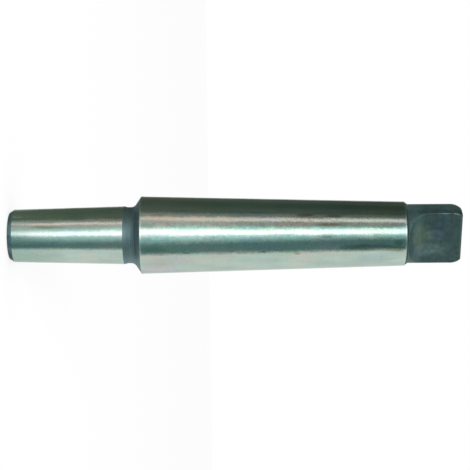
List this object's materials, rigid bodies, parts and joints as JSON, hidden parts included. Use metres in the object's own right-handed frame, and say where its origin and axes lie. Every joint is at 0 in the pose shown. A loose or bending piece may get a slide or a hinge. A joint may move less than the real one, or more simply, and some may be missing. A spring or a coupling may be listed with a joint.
{
  "type": "taper arbor",
  "caption": "Solid steel arbor with a short ground taper for a drill chuck, a turned neck, and a long ground shank taper that ends in a flat-sided tang.",
  "frame": {"origin": "centre of the chuck taper's end face, on which the arbor stands", "axes": "+Z along the axis towards the tang, and the flats of the tang face +Y and -Y"},
  "size_m": [0.024, 0.024, 0.1399],
  "materials": {
    "steel": "ground bright on the tapers, dark and dull on the neck, the end bevels and the tang"
  },
  "bodies": {
    "root": {"arbor": "steel"}
  },
  "joints": []
}
